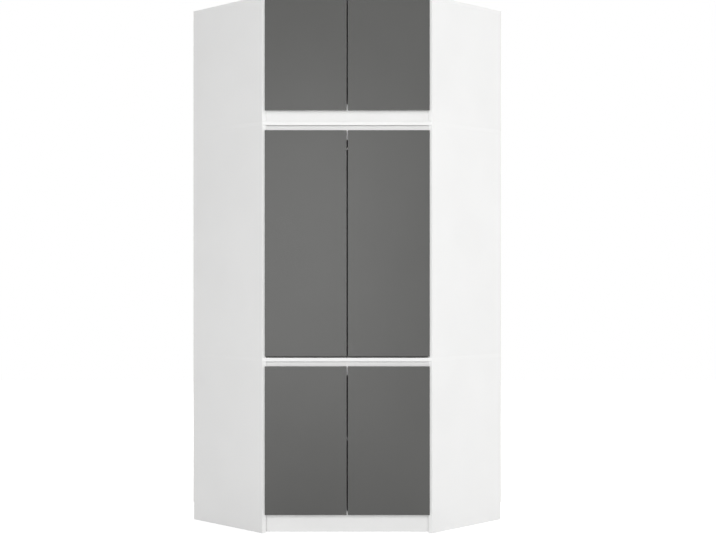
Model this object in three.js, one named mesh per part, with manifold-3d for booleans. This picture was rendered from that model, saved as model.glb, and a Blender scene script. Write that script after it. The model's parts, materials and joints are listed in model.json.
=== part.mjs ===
import * as THREE from 'three';
import { mergeVertices } from 'three/addons/utils/BufferGeometryUtils.js';
import Module from 'manifold-3d';

// Corner wardrobe with a diagonal front, built from a lower section, a middle section and a top
// unit. Millimetres, +Z up, doors facing -Y, mirrored about the plane x = 0. The plan is worked out
// from the two room walls, which meet at a right angle behind the wardrobe.

// Plan sizes
const wallLength = 1000;
const sideDepth = 478;
const boardThickness = 16;
const backThickness = 3;
const postWidth = 30;
const innerSetback = 20;
const plinthSetback = 39;
const fitGap = 0.3;

// Heights
const plinthHeight = 79;
const lowerSideHeight = 747;
const middleSideHeight = 1010;
const topUnitSideHeight = 531;
const topUnitRailHeight = 62;
const frontRailHeight = 62;

// Doors
const doorThickness = 16;
const doorStandoff = 2;
const doorReveal = 11.5;
const centreGap = 5;
const lowerDoorRise = 3;
const lowerGripGap = 21;
const middleDoorRise = 6;
const middleGripGap = 23;
const topDoorDrop = 14;
const topDoorHeadGap = 4;

// Hinge cup, sunk into the back of a door
const cupDiameter = 35;
const cupDepth = 11.5;
const cupWall = 1.2;
const cupEdgeMargin = 5;
const cupRimWidth = 2.5;
const flangeThickness = 1.2;
const flangeWidth = 14;
const flangeHeight = 62;

// Hinge arm, screwed to the inner face of a side panel
const hingePlateSetback = 37;
const hingePlateWidth = 18;
const hingePlateHeight = 50;
const hingePlateThickness = 2.5;
const hingeArmHeight = 14;
const hingeArmThickness = 6;
const hingeArmTail = 25;
const hingeArmClearance = 0.5;
const hingeEndClearance = 55;

// Shelf and clothes rail
const shelfRise = 300;
const shelfSetback = 60;
const clothesRailDiameter = 25;
const clothesRailWall = 1.2;
const clothesRailSetback = 300;
const clothesRailDrop = 70;
const clothesRailEndClearance = 216;
const bracketInset = 100;
const bracketThickness = 14;
const bracketRingWall = 4;
const bracketStemWidth = 16;
const bracketFlangeWidth = 52;
const bracketFlangeThickness = 4;

const cutOverrun = 5;
const roundSegments = 24;
const arcSegments = 6;

// Plan places: the front tips of the side panels lie on y = 0 until the whole is centred. The front
// edge of a side panel is mitred, halfway between a square cut and the plane of the doors.
const DIAGONAL = Math.SQRT2;
const MITRE_SLOPE = Math.tan(Math.PI / 8);
const tipX = (wallLength - sideDepth) / DIAGONAL;
const cornerY = (wallLength + sideDepth) / DIAGONAL;
const mitreAdvance = boardThickness * MITRE_SLOPE;
const doorBackY = doorReveal * MITRE_SLOPE - doorStandoff;
const doorFrontY = doorBackY - doorThickness;
const doorEdgeX = tipX - doorReveal;
const wallClear = backThickness + fitGap;
const postFar = wallClear + postWidth;

// Height places
const bottomBoardTop = plinthHeight + boardThickness;
const midBoardTop = lowerSideHeight + boardThickness;
const mainTopBottom = midBoardTop + middleSideHeight;
const mainTop = mainTopBottom + boardThickness;
const topUnitFloorBottom = mainTop + topUnitRailHeight;
const topUnitFloorTop = topUnitFloorBottom + boardThickness;
const roofBottom = mainTop + topUnitSideHeight;
const roofTop = roofBottom + boardThickness;
const lowerRailBottom = lowerSideHeight - frontRailHeight;
const middleRailBottom = mainTopBottom - frontRailHeight;
const shelfBottom = bottomBoardTop + shelfRise;

const sides = [
  { name: 'left', sign: -1 },
  { name: 'right', sign: 1 },
];

const doorRows = [
  {
    name: 'lower',
    bottom: plinthHeight + lowerDoorRise,
    top: lowerSideHeight - lowerGripGap,
    clearBottom: bottomBoardTop,
    clearTop: lowerRailBottom,
    hinges: 2,
  },
  {
    name: 'middle',
    bottom: midBoardTop + middleDoorRise,
    top: mainTopBottom - middleGripGap,
    clearBottom: midBoardTop,
    clearTop: middleRailBottom,
    hinges: 3,
  },
  {
    name: 'top',
    bottom: topUnitFloorBottom - topDoorDrop,
    top: roofBottom - topDoorHeadGap,
    clearBottom: topUnitFloorTop,
    clearTop: roofBottom,
    hinges: 2,
  },
];

const wasm = await Module();
wasm.setup();

const wardrobe = new THREE.Group();
wardrobe.position.y = -(cornerY + doorFrontY) / 2;

function whiteBoard() {
  return new THREE.MeshStandardMaterial({ color: 0xf1f1ef, roughness: 0.45, metalness: 0 });
}

function graphiteBoard() {
  return new THREE.MeshStandardMaterial({ color: 0x6a6a68, roughness: 0.5, metalness: 0 });
}

function hardboard() {
  return new THREE.MeshStandardMaterial({ color: 0xe4e0d8, roughness: 0.6, metalness: 0 });
}

function nickelSteel() {
  return new THREE.MeshStandardMaterial({ color: 0xb9b9b6, roughness: 0.32, metalness: 1 });
}

function addPiece(name, geometry, material) {
  const mesh = new THREE.Mesh(geometry, material);
  mesh.name = name;
  wardrobe.add(mesh);
}

// A plan point from its distance along one room wall, counted from the corner, and its distance
// out from that wall. The sign is 1 for the right wall and -1 for the left one.
function wallPoint(sign, along, out) {
  return new THREE.Vector2((sign * (along - out)) / DIAGONAL, cornerY - (along + out) / DIAGONAL);
}

// A plan point from its distance off the inner face of a side panel and behind its front edge.
function panelPoint(sign, off, behind) {
  return wallPoint(sign, wallLength - boardThickness - off, sideDepth - behind);
}

// Where a line inside the right side panel, that far from its outer face, reaches the depth y.
function sideLinePoint(inset, y) {
  return new THREE.Vector2(y + tipX - inset * DIAGONAL, y);
}

function mirrored(right, middle = []) {
  const left = right.map((point) => new THREE.Vector2(-point.x, point.y));
  return [...right, ...middle, ...left.reverse()];
}

// Upright solid over a plan outline, with its two levels exactly as given.
function prism(outline, bottom, top) {
  const unit = { depth: 1, bevelEnabled: false };
  const geometry = new THREE.ExtrudeGeometry(new THREE.Shape(outline), unit);
  const position = geometry.getAttribute('position');
  for (let i = 0; i < position.count; i += 1) {
    position.setZ(i, position.getZ(i) > 0 ? top : bottom);
  }
  return geometry;
}

function toSolid(geometry) {
  const bare = geometry.clone();
  bare.deleteAttribute('normal');
  bare.deleteAttribute('uv');
  const merged = mergeVertices(bare);
  const vertProperties = merged.getAttribute('position').array;
  const triVerts = new Uint32Array(merged.index.array);
  return new wasm.Manifold(new wasm.Mesh({ numProp: 3, vertProperties, triVerts }));
}

function toGeometry(solid) {
  const { vertProperties, triVerts } = solid.getMesh();
  const geometry = new THREE.BufferGeometry();
  geometry.setAttribute('position', new THREE.BufferAttribute(vertProperties, 3));
  geometry.setIndex(new THREE.BufferAttribute(triVerts, 1));
  geometry.computeVertexNormals();
  return geometry;
}

// Round solid whose axis runs front to back.
function depthCylinder(radius, frontY, backY) {
  const geometry = new THREE.CylinderGeometry(radius, radius, backY - frontY, roundSegments);
  return geometry.translate(0, (frontY + backY) / 2, 0);
}

// Upright side board with a mitred front edge.
function sidePanel(sign, bottom, top) {
  const outer = wallLength;
  const inner = wallLength - boardThickness;
  const outline = [
    wallPoint(sign, outer, wallClear),
    wallPoint(sign, outer, sideDepth),
    wallPoint(sign, inner, sideDepth + mitreAdvance),
    wallPoint(sign, inner, wallClear),
  ];
  return prism(outline, bottom, top);
}

function backPanel(sign, bottom, top) {
  const outline = [
    wallPoint(sign, 0, 0),
    wallPoint(sign, wallLength, 0),
    wallPoint(sign, wallLength, backThickness),
    wallPoint(sign, backThickness, backThickness),
  ];
  return prism(outline, bottom, top);
}

// Five-cornered board. A notched one leaves room for the corner post.
function cornerBoard(sideInset, frontY, notched, bottom) {
  const right = [sideLinePoint(sideInset, frontY), wallPoint(1, wallLength - sideInset, wallClear)];
  const notch = postFar + fitGap;
  if (notched) {
    right.push(wallPoint(1, notch, wallClear));
  }
  const middle = notched ? wallPoint(1, notch, notch) : wallPoint(1, wallClear, wallClear);
  return prism(mirrored(right, [middle]), bottom, bottom + boardThickness);
}

// Upright board across the front, its ends cut to the side panels.
function crossBoard(frontY, bottom, top) {
  const inset = boardThickness + fitGap;
  const right = [sideLinePoint(inset, frontY), sideLinePoint(inset, frontY + boardThickness)];
  return prism(mirrored(right), bottom, top);
}

function cornerPost(bottom, top) {
  const outline = [
    wallPoint(1, wallClear, wallClear),
    wallPoint(1, postFar, wallClear),
    wallPoint(1, postFar, postFar),
    wallPoint(1, wallClear, postFar),
  ];
  return prism(outline, bottom, top);
}

function addCarcass() {
  for (const { name, sign } of sides) {
    addPiece(`lower_side_${name}`, sidePanel(sign, 0, lowerSideHeight), whiteBoard());
    addPiece(`middle_side_${name}`, sidePanel(sign, midBoardTop, mainTopBottom), whiteBoard());
    addPiece(`top_unit_side_${name}`, sidePanel(sign, mainTop, roofBottom), whiteBoard());
    addPiece(`main_back_${name}`, backPanel(sign, plinthHeight, mainTop), hardboard());
    addPiece(`top_unit_back_${name}`, backPanel(sign, mainTop, roofTop), hardboard());
  }
  const between = boardThickness + fitGap;
  addPiece('bottom_board', cornerBoard(between, innerSetback, true, plinthHeight), whiteBoard());
  addPiece('mid_board', cornerBoard(0, 0, true, lowerSideHeight), whiteBoard());
  addPiece('main_top_board', cornerBoard(0, 0, false, mainTopBottom), whiteBoard());
  const topUnitFloor = cornerBoard(between, innerSetback, true, topUnitFloorBottom);
  addPiece('top_unit_bottom_board', topUnitFloor, whiteBoard());
  addPiece('top_unit_top_board', cornerBoard(0, 0, false, roofBottom), whiteBoard());
  addPiece('lower_shelf', cornerBoard(between, shelfSetback, true, shelfBottom), whiteBoard());
  addPiece('plinth_board', crossBoard(plinthSetback, 0, plinthHeight), whiteBoard());
  const lowerRail = crossBoard(innerSetback, lowerRailBottom, lowerSideHeight);
  addPiece('lower_front_rail', lowerRail, whiteBoard());
  const middleRail = crossBoard(innerSetback, middleRailBottom, mainTopBottom);
  addPiece('middle_front_rail', middleRail, whiteBoard());
  const topUnitRail = crossBoard(innerSetback, mainTop, topUnitFloorBottom);
  addPiece('top_unit_front_rail', topUnitRail, whiteBoard());
  addPiece('corner_post', cornerPost(0, mainTopBottom), whiteBoard());
  addPiece('top_unit_corner_post', cornerPost(mainTop, roofBottom), whiteBoard());
}

const cupRadius = cupDiameter / 2;
const cupX = doorEdgeX - cupEdgeMargin - cupRadius;
const cupFrontY = doorBackY - cupDepth;
const flangeFrontY = doorBackY + fitGap;
const flangeBackY = flangeFrontY + flangeThickness;

function hingeHeights(row) {
  const margin = hingeEndClearance + hingePlateHeight / 2;
  const lowest = row.clearBottom + margin;
  const step = (row.clearTop - margin - lowest) / (row.hinges - 1);
  return Array.from({ length: row.hinges }, (_, i) => lowest + i * step);
}

function door(sign, row) {
  const outline = [
    new THREE.Vector2((sign * centreGap) / 2, doorFrontY),
    new THREE.Vector2(sign * doorEdgeX, doorFrontY),
    new THREE.Vector2(sign * doorEdgeX, doorBackY),
    new THREE.Vector2((sign * centreGap) / 2, doorBackY),
  ];
  let solid = toSolid(prism(outline, row.bottom, row.top));
  for (const z of hingeHeights(row)) {
    const bore = depthCylinder(cupRadius + fitGap, cupFrontY - fitGap, doorBackY + cutOverrun);
    solid = solid.subtract(toSolid(bore.translate(sign * cupX, 0, z)));
  }
  return toGeometry(solid);
}

// Round pot with a rim, and two screw wings above and below it.
function hingeCup(sign, z) {
  const rimRadius = cupRadius + cupRimWidth;
  const profile = [
    new THREE.Vector2(0, cupFrontY),
    new THREE.Vector2(cupRadius, cupFrontY),
    new THREE.Vector2(cupRadius, flangeFrontY),
    new THREE.Vector2(rimRadius, flangeFrontY),
    new THREE.Vector2(rimRadius, flangeBackY),
    new THREE.Vector2(0, flangeBackY),
  ];
  const pot = toSolid(new THREE.LatheGeometry(profile, roundSegments));
  const end = flangeWidth / 2;
  const reach = flangeHeight / 2 - end;
  const wing = new THREE.Shape();
  wing.absarc(0, reach, end, 0, Math.PI, false);
  wing.absarc(0, -reach, end, Math.PI, 2 * Math.PI, false);
  const wingSettings = { depth: flangeThickness, bevelEnabled: false, curveSegments: arcSegments };
  const wings = new THREE.ExtrudeGeometry(wing, wingSettings);
  wings.rotateX(Math.PI / 2).translate(0, flangeBackY, 0);
  const hollow = depthCylinder(cupRadius - cupWall, cupFrontY + cupWall, flangeBackY + cutOverrun);
  const solid = pot.add(toSolid(wings)).subtract(toSolid(hollow));
  return toGeometry(solid).translate(sign * cupX, 0, z);
}

// Mounting plate with the arm that reaches from it to the mouth of the cup. The arm is cut square
// to the doors there.
function hingeArm(sign, z) {
  const face = fitGap;
  const plateTop = face + hingePlateThickness;
  const armUnder = face + hingePlateThickness / 2;
  const armTop = plateTop + hingeArmThickness;
  const near = hingePlateSetback - hingePlateWidth / 2;
  const far = hingePlateSetback + hingePlateWidth / 2;
  const tail = hingePlateSetback + hingeArmTail;
  const endLine = (flangeBackY + hingeArmClearance) * DIAGONAL - boardThickness;
  const plateOutline = [
    panelPoint(sign, face, near),
    panelPoint(sign, plateTop, near),
    panelPoint(sign, plateTop, far),
    panelPoint(sign, face, far),
  ];
  const armOutline = [
    panelPoint(sign, armUnder, endLine - armUnder),
    panelPoint(sign, armTop, endLine - armTop),
    panelPoint(sign, armTop, tail),
    panelPoint(sign, armUnder, tail),
  ];
  const plateHalf = hingePlateHeight / 2;
  const armHalf = hingeArmHeight / 2;
  const plate = toSolid(prism(plateOutline, z - plateHalf, z + plateHalf));
  return toGeometry(plate.add(toSolid(prism(armOutline, z - armHalf, z + armHalf))));
}

function addDoors() {
  for (const row of doorRows) {
    for (const { name, sign } of sides) {
      addPiece(`${row.name}_door_${name}`, door(sign, row), graphiteBoard());
      hingeHeights(row).forEach((z, i) => {
        const number = i + 1;
        addPiece(`${row.name}_hinge_cup_${name}_${number}`, hingeCup(sign, z), nickelSteel());
        addPiece(`${row.name}_hinge_arm_${name}_${number}`, hingeArm(sign, z), nickelSteel());
      });
    }
  }
}

const clothesRailRadius = clothesRailDiameter / 2;
const clothesRailZ = mainTopBottom - clothesRailDrop;
const innerFaceX = sideLinePoint(boardThickness, clothesRailSetback).x;
const clothesRailEndX = innerFaceX - clothesRailEndClearance;

function clothesRail() {
  const bore = clothesRailRadius - clothesRailWall;
  const section = [
    new THREE.Vector2(bore, -clothesRailEndX),
    new THREE.Vector2(clothesRailRadius, -clothesRailEndX),
    new THREE.Vector2(clothesRailRadius, clothesRailEndX),
    new THREE.Vector2(bore, clothesRailEndX),
    new THREE.Vector2(bore, -clothesRailEndX),
  ];
  const tube = new THREE.LatheGeometry(section, roundSegments);
  return tube.rotateZ(-Math.PI / 2).translate(0, clothesRailSetback, clothesRailZ);
}

// Hanger under the main top board: a flange, a stem and a ring round the clothes rail.
function railBracket(sign) {
  const ringInner = clothesRailRadius + fitGap;
  const ringOuter = ringInner + bracketRingWall;
  const topZ = clothesRailDrop - fitGap;
  const flangeZ = topZ - bracketFlangeThickness;
  const halfFlange = bracketFlangeWidth / 2;
  const halfStem = bracketStemWidth / 2;
  const stemAngle = Math.asin(halfStem / ringOuter);
  const outline = new THREE.Shape();
  outline.moveTo(-halfFlange, topZ);
  outline.lineTo(-halfFlange, flangeZ);
  outline.lineTo(-halfStem, flangeZ);
  outline.absarc(0, 0, ringOuter, Math.PI / 2 + stemAngle, 2.5 * Math.PI - stemAngle, false);
  outline.lineTo(halfStem, flangeZ);
  outline.lineTo(halfFlange, flangeZ);
  outline.lineTo(halfFlange, topZ);
  const hole = new THREE.Path();
  hole.absarc(0, 0, ringInner, 0, 2 * Math.PI, false);
  outline.holes.push(hole);
  const settings = {
    depth: bracketThickness,
    bevelEnabled: false,
    curveSegments: roundSegments,
  };
  const bracket = new THREE.ExtrudeGeometry(outline, settings);
  bracket.rotateX(Math.PI / 2).rotateZ(Math.PI / 2);
  const centreX = sign * (clothesRailEndX - bracketInset) - bracketThickness / 2;
  return bracket.translate(centreX, clothesRailSetback, clothesRailZ);
}

function addClothesRail() {
  addPiece('clothes_rail', clothesRail(), nickelSteel());
  for (const { name, sign } of sides) {
    addPiece(`rail_bracket_${name}`, railBracket(sign), nickelSteel());
  }
}

addCarcass();
addDoors();
addClothesRail();

export default wardrobe;
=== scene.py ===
# %% [markdown]
# # A corner wardrobe with a diagonal front
# The wardrobe is a stack of flat boards: white melamine for the body and graphite melamine for
# the six doors. It stands in the corner of a room, so its front runs diagonally from wall to wall.
# The frame that is loaded first holds every piece at its real size and place. This lesson makes
# the boards again with eased and banded edges, models the hinges, the clothes rail and the small
# fittings, and gives every surface its finish.

# %% Load the frame
import json
import math

import bpy
from mathutils import Matrix, Vector

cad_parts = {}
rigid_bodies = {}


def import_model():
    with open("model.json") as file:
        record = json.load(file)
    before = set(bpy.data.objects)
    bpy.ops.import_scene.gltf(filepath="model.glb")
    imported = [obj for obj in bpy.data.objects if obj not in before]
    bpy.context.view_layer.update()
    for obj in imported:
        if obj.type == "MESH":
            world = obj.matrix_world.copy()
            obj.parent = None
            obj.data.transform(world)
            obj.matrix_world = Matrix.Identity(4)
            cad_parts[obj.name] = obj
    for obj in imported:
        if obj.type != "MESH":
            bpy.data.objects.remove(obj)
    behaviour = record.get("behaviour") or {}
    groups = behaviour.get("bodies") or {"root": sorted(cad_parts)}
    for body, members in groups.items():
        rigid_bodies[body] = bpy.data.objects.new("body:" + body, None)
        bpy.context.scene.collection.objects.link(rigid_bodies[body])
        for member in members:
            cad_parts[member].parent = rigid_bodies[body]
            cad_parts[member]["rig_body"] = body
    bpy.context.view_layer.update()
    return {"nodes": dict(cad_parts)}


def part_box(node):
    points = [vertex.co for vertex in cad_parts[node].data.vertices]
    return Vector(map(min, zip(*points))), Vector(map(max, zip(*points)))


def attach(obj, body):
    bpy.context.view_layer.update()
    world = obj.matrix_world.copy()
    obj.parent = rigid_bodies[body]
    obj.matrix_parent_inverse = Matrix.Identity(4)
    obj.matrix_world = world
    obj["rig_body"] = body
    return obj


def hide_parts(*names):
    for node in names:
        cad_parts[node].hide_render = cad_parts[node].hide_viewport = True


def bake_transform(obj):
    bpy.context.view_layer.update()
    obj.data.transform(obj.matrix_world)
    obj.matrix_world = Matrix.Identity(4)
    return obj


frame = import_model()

print("nodes:", len(frame["nodes"]))

# %% [markdown]
# ## Measure the frame
# The places of new pieces come from the frame. `reach` says how far a piece stretches in a
# direction, so the plane of a sloping face is found without any typed place. The side panels
# stand at 45 degrees to the front, so the four diagonal directions are named once here.

# %% Directions and reaches
MM = 0.001
UP = Vector((0, 0, 1))
FRONT = Vector((0, -1, 0))
QUARTER_TURN = math.radians(90)
EIGHTH_TURN = math.radians(45)
ROOT_HALF = math.sqrt(0.5)
DIAGONALS = [Vector((x * ROOT_HALF, y * ROOT_HALF, 0)) for x in (-1, 1) for y in (-1, 1)]
SIDES = {"left": -1, "right": 1}
SECTIONS = ("lower", "middle", "top_unit")


def farthest(piece, direction):
    return max(vertex.co.dot(direction) for vertex in piece.data.vertices)


def reach(node, direction):
    return farthest(frame["nodes"][node], direction)


def span(node, axis):
    low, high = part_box(node)
    return high[axis] - low[axis]


board = span("mid_board", 2)
tip_y = -reach("mid_board", FRONT)
print(f"board {board / MM:.1f} mm, front tips at y = {tip_y:.4f}")

# %% [markdown]
# ## The camera
# The photograph looks level and square at the doors from a little under six metres away. The
# horizon lies just below the middle of the picture, at the height of the lens, so the picture is
# framed by a small shift of the lens and not by tilting it, and all uprights stay upright.

# %% Camera
PHOTO_WIDTH, PHOTO_HEIGHT = 716, 540
FOCAL_PIXELS = 1308.3
CENTRE_COLUMN, HORIZON_ROW = 347.2, 279.0
EYE_DISTANCE, EYE_HEIGHT = 5.681, 1.105
SENSOR_WIDTH = 36
SIGHT_END = 100

camera_data = bpy.data.cameras.new("camera")
camera_data.sensor_width = SENSOR_WIDTH
camera_data.lens = FOCAL_PIXELS * SENSOR_WIDTH / PHOTO_WIDTH
camera_data.shift_x = (PHOTO_WIDTH / 2 - CENTRE_COLUMN) / PHOTO_WIDTH
camera_data.shift_y = (HORIZON_ROW - PHOTO_HEIGHT / 2) / PHOTO_WIDTH
camera_data.clip_end = SIGHT_END
camera = bpy.data.objects.new("camera", camera_data)
camera.location = (0, tip_y - EYE_DISTANCE, EYE_HEIGHT)
camera.rotation_euler = (QUARTER_TURN, 0, 0)
bpy.context.scene.collection.objects.link(camera)
bpy.context.scene.camera = camera
print(f"lens {camera_data.lens:.1f} mm, eye at {EYE_HEIGHT} m")

# %% [markdown]
# ## Background and floor
# The photograph has a pure white background. Turning the lamps up would burn out the white
# boards, so the camera alone is told that the background is white: the Light Path node tells the
# rays that come straight from the camera, and mirror and glass rays, which should show the same
# surroundings, from the rays that carry light. For the camera the floor is an even glow plus a
# share of its real shading, so the wardrobe still stands on a soft shadow. Away from the wardrobe
# the glow rises to full white, so that no line shows where the floor ends.


# %% Light path helper
def seen_directly(tree):
    """1 for camera, glossy and transmission rays, and 0 for the rays that carry light."""
    path = tree.nodes.new("ShaderNodeLightPath")
    total = path.outputs["Is Camera Ray"]
    for ray in ("Is Glossy Ray", "Is Transmission Ray"):
        either = tree.nodes.new("ShaderNodeMath")
        either.operation = "MAXIMUM"
        tree.links.new(total, either.inputs[0])
        tree.links.new(path.outputs[ray], either.inputs[1])
        total = either.outputs[0]
    return total


# %% World
AMBIENT = 0.25
FULL_WHITE = 1.0
WHITE = (1, 1, 1, 1)

world = bpy.data.worlds.new("studio")
world.use_nodes = True
bpy.context.scene.world = world
background = world.node_tree.nodes["Background"]
background.inputs["Color"].default_value = WHITE
strength = world.node_tree.nodes.new("ShaderNodeMapRange")
strength.inputs["To Min"].default_value = AMBIENT
strength.inputs["To Max"].default_value = FULL_WHITE
world.node_tree.links.new(seen_directly(world.node_tree), strength.inputs["Value"])
world.node_tree.links.new(strength.outputs["Result"], background.inputs["Strength"])
bpy.context.scene.view_settings.view_transform = "Standard"
print(f"the world is seen at {FULL_WHITE} and lights at {AMBIENT}")

# %% Floor
FLOOR_WIDTH = 16.0
FLOOR_TONE = 0.6
FLOOR_ROUGHNESS = 0.9
SEEN_TONE = 0.3
GLOW_NEAR, GLOW_FAR = 0.88, FULL_WHITE
FADE_START, FADE_END = 1.0, 3.0

bpy.ops.object.select_all(action="DESELECT")
bpy.ops.mesh.primitive_plane_add(size=FLOOR_WIDTH)
floor = bpy.context.object
floor.name = "floor"
floor_material = bpy.data.materials.new("studio_floor")
floor_material.use_nodes = True
tree = floor_material.node_tree
plain = tree.nodes["Principled BSDF"]
plain.inputs["Base Color"].default_value = (FLOOR_TONE, FLOOR_TONE, FLOOR_TONE, 1)
plain.inputs["Roughness"].default_value = FLOOR_ROUGHNESS
place = tree.nodes.new("ShaderNodeTexCoord")
distance = tree.nodes.new("ShaderNodeVectorMath")
distance.operation = "LENGTH"
fade = tree.nodes.new("ShaderNodeMapRange")
fade.inputs["From Min"].default_value = FADE_START
fade.inputs["From Max"].default_value = FADE_END
fade.inputs["To Min"].default_value = GLOW_NEAR
fade.inputs["To Max"].default_value = GLOW_FAR
glow = tree.nodes.new("ShaderNodeEmission")
shade = tree.nodes.new("ShaderNodeBsdfDiffuse")
shade.inputs["Color"].default_value = (SEEN_TONE, SEEN_TONE, SEEN_TONE, 1)
seen = tree.nodes.new("ShaderNodeAddShader")
choice = tree.nodes.new("ShaderNodeMixShader")
tree.links.new(place.outputs["Object"], distance.inputs["Vector"])
tree.links.new(distance.outputs["Value"], fade.inputs["Value"])
tree.links.new(fade.outputs["Result"], glow.inputs["Strength"])
tree.links.new(glow.outputs["Emission"], seen.inputs[0])
tree.links.new(shade.outputs["BSDF"], seen.inputs[1])
tree.links.new(seen_directly(tree), choice.inputs["Fac"])
tree.links.new(plain.outputs["BSDF"], choice.inputs[1])
tree.links.new(seen.outputs["Shader"], choice.inputs[2])
tree.links.new(choice.outputs["Shader"], tree.nodes["Material Output"].inputs["Surface"])
floor.data.materials.append(floor_material)
print(f"floor {FLOOR_WIDTH} m wide")

# %% [markdown]
# ## Lamps
# The photograph is lit softly from the front, a little more from the right, so that the right
# side is nearly white and the left side pale grey. Each lamp is a large soft box. A far, high one
# draws the crisp shadows under the boards. Only the panel in front is let into the reflections: it
# draws the broad soft highlight in the middle of the doors. Three more lamps stand above and
# behind, where they don't reach the front, so that the top and the backs can be seen too.


# %% Lamps
LAMP_AIM = Vector((0, 0, 1.15))
# azimuth and elevation in degrees, distance, width and height in metres, level from 0 to 1
HIDDEN_LAMPS = {
    "front_lamp": (0, 5, 7.0, 2.4, 2.4, 0.418),
    "high_lamp": (0, 18, 16.0, 4.0, 4.0, 0.137),
    "right_lamp": (80, 11, 6.5, 2.0, 2.4, 0.28),
    "left_lamp": (-80, 8, 6.5, 2.0, 2.4, 0.038),
    "top_lamp": (180, 82, 5.0, 2.0, 2.0, 0.30),
    "rear_right_lamp": (140, 20, 6.5, 2.0, 2.4, 0.30),
    "rear_left_lamp": (-140, 20, 6.5, 2.0, 2.4, 0.30),
}
MIRRORED_LAMPS = {"front_panel": (-4.8, 1.8, 5.8, 1.6, 2.5, 0.063)}


def soft_lamp(name, azimuth, elevation, distance, width, height, level):
    """A soft box that lights a white board facing it to the given level."""
    turn, rise = math.radians(azimuth), math.radians(elevation)
    level_share = math.cos(rise)
    away = Vector((math.sin(turn) * level_share, -math.cos(turn) * level_share, math.sin(rise)))
    data = bpy.data.lights.new(name, "AREA")
    data.shape = "RECTANGLE"
    data.size = width
    data.size_y = height
    data.energy = level * (math.pi * distance) ** 2
    lamp = bpy.data.objects.new(name, data)
    lamp.location = LAMP_AIM + away * distance
    lamp.rotation_euler = away.to_track_quat("Z", "Y").to_euler()
    bpy.context.scene.collection.objects.link(lamp)
    return lamp


for name, values in HIDDEN_LAMPS.items():
    soft_lamp(name, *values).visible_glossy = False
for name, values in MIRRORED_LAMPS.items():
    soft_lamp(name, *values)
print("lamps:", ", ".join([*HIDDEN_LAMPS, *MIRRORED_LAMPS]))

# %% [markdown]
# ## Finishes
# A melamine board is printed paper pressed on chipboard. Its face isn't quite smooth: the press
# plate leaves a fine pearl, finer than a millimetre, that breaks up reflections. So each finish
# here is a base colour with a very weak cloudiness, a roughness that varies a little, and a bump
# at the scale of the pearl. All of them read Object coordinates, which are metres on these
# pieces.


# %% Finish helpers
RAMP_STOPS = (0.35, 0.65)


def new_finish(name, metallic=0.0):
    finish = bpy.data.materials.new(name)
    finish.use_nodes = True
    shader = finish.node_tree.nodes["Principled BSDF"]
    shader.inputs["Metallic"].default_value = metallic
    return finish, finish.node_tree, shader


def noise(tree, per_metre, detail=2.0, squeeze=(1, 1, 1)):
    """A noise with that many grains to the metre, squeezed along each axis."""
    place = tree.nodes.new("ShaderNodeTexCoord")
    mapping = tree.nodes.new("ShaderNodeMapping")
    mapping.inputs["Scale"].default_value = squeeze
    grain = tree.nodes.new("ShaderNodeTexNoise")
    grain.inputs["Scale"].default_value = per_metre
    grain.inputs["Detail"].default_value = detail
    tree.links.new(place.outputs["Object"], mapping.inputs["Vector"])
    tree.links.new(mapping.outputs["Vector"], grain.inputs["Vector"])
    return grain.outputs["Fac"]


def vary_colour(tree, shader, factor, colours):
    """Goes from the first colour to the second in the middle of the factor's range."""
    ramp = tree.nodes.new("ShaderNodeValToRGB")
    for stop, position, colour in zip(ramp.color_ramp.elements, RAMP_STOPS, colours):
        stop.position = position
        stop.color = (*colour, 1)
    tree.links.new(factor, ramp.inputs["Fac"])
    tree.links.new(ramp.outputs["Color"], shader.inputs["Base Color"])


def vary_roughness(tree, shader, factor, limits):
    spread = tree.nodes.new("ShaderNodeMapRange")
    for socket, limit in zip(("To Min", "To Max"), limits):
        spread.inputs[socket].default_value = limit
    tree.links.new(factor, spread.inputs["Value"])
    tree.links.new(spread.outputs["Result"], shader.inputs["Roughness"])


def raise_bump(tree, shader, height, depth, strength):
    bump = tree.nodes.new("ShaderNodeBump")
    bump.inputs["Distance"].default_value = depth
    bump.inputs["Strength"].default_value = strength
    tree.links.new(height, bump.inputs["Height"])
    tree.links.new(bump.outputs["Normal"], shader.inputs["Normal"])


# %% Board finishes
WHITE_FACE = [(0.84, 0.84, 0.835), (0.86, 0.86, 0.855)]
WHITE_BAND = [(0.85, 0.85, 0.845), (0.87, 0.87, 0.865)]
GRAPHITE_FACE = [(0.073, 0.073, 0.070), (0.077, 0.077, 0.074)]
GRAPHITE_BAND = [(0.10, 0.10, 0.097), (0.115, 0.115, 0.112)]
WHITE_ROUGHNESS = (0.42, 0.52)
GRAPHITE_ROUGHNESS = (0.24, 0.30)
BAND_ROUGHNESS = (0.34, 0.42)


def melamine(name, colours, roughness):
    """Printed board face: faint clouds, and the fine pearl of the press plate."""
    finish, tree, shader = new_finish(name)
    clouds = noise(tree, per_metre=3.0)
    pearl = noise(tree, per_metre=1400.0, detail=3.0)
    vary_colour(tree, shader, clouds, colours)
    vary_roughness(tree, shader, pearl, roughness)
    raise_bump(tree, shader, pearl, depth=0.05 * MM, strength=0.35)
    return finish


def edge_band(name, colours):
    """Plastic edge strip: smoother than the face, with faint level lines."""
    finish, tree, shader = new_finish(name)
    lines = noise(tree, per_metre=260.0, squeeze=(1, 1, 4))
    vary_colour(tree, shader, lines, colours)
    vary_roughness(tree, shader, lines, BAND_ROUGHNESS)
    raise_bump(tree, shader, lines, depth=0.03 * MM, strength=0.2)
    return finish


white_face = melamine("white_melamine", WHITE_FACE, WHITE_ROUGHNESS)
white_band = edge_band("white_edge_band", WHITE_BAND)
graphite_face = melamine("graphite_melamine", GRAPHITE_FACE, GRAPHITE_ROUGHNESS)
graphite_band = edge_band("graphite_edge_band", GRAPHITE_BAND)
print("board finishes:", white_face.name, "and", graphite_face.name)


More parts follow.
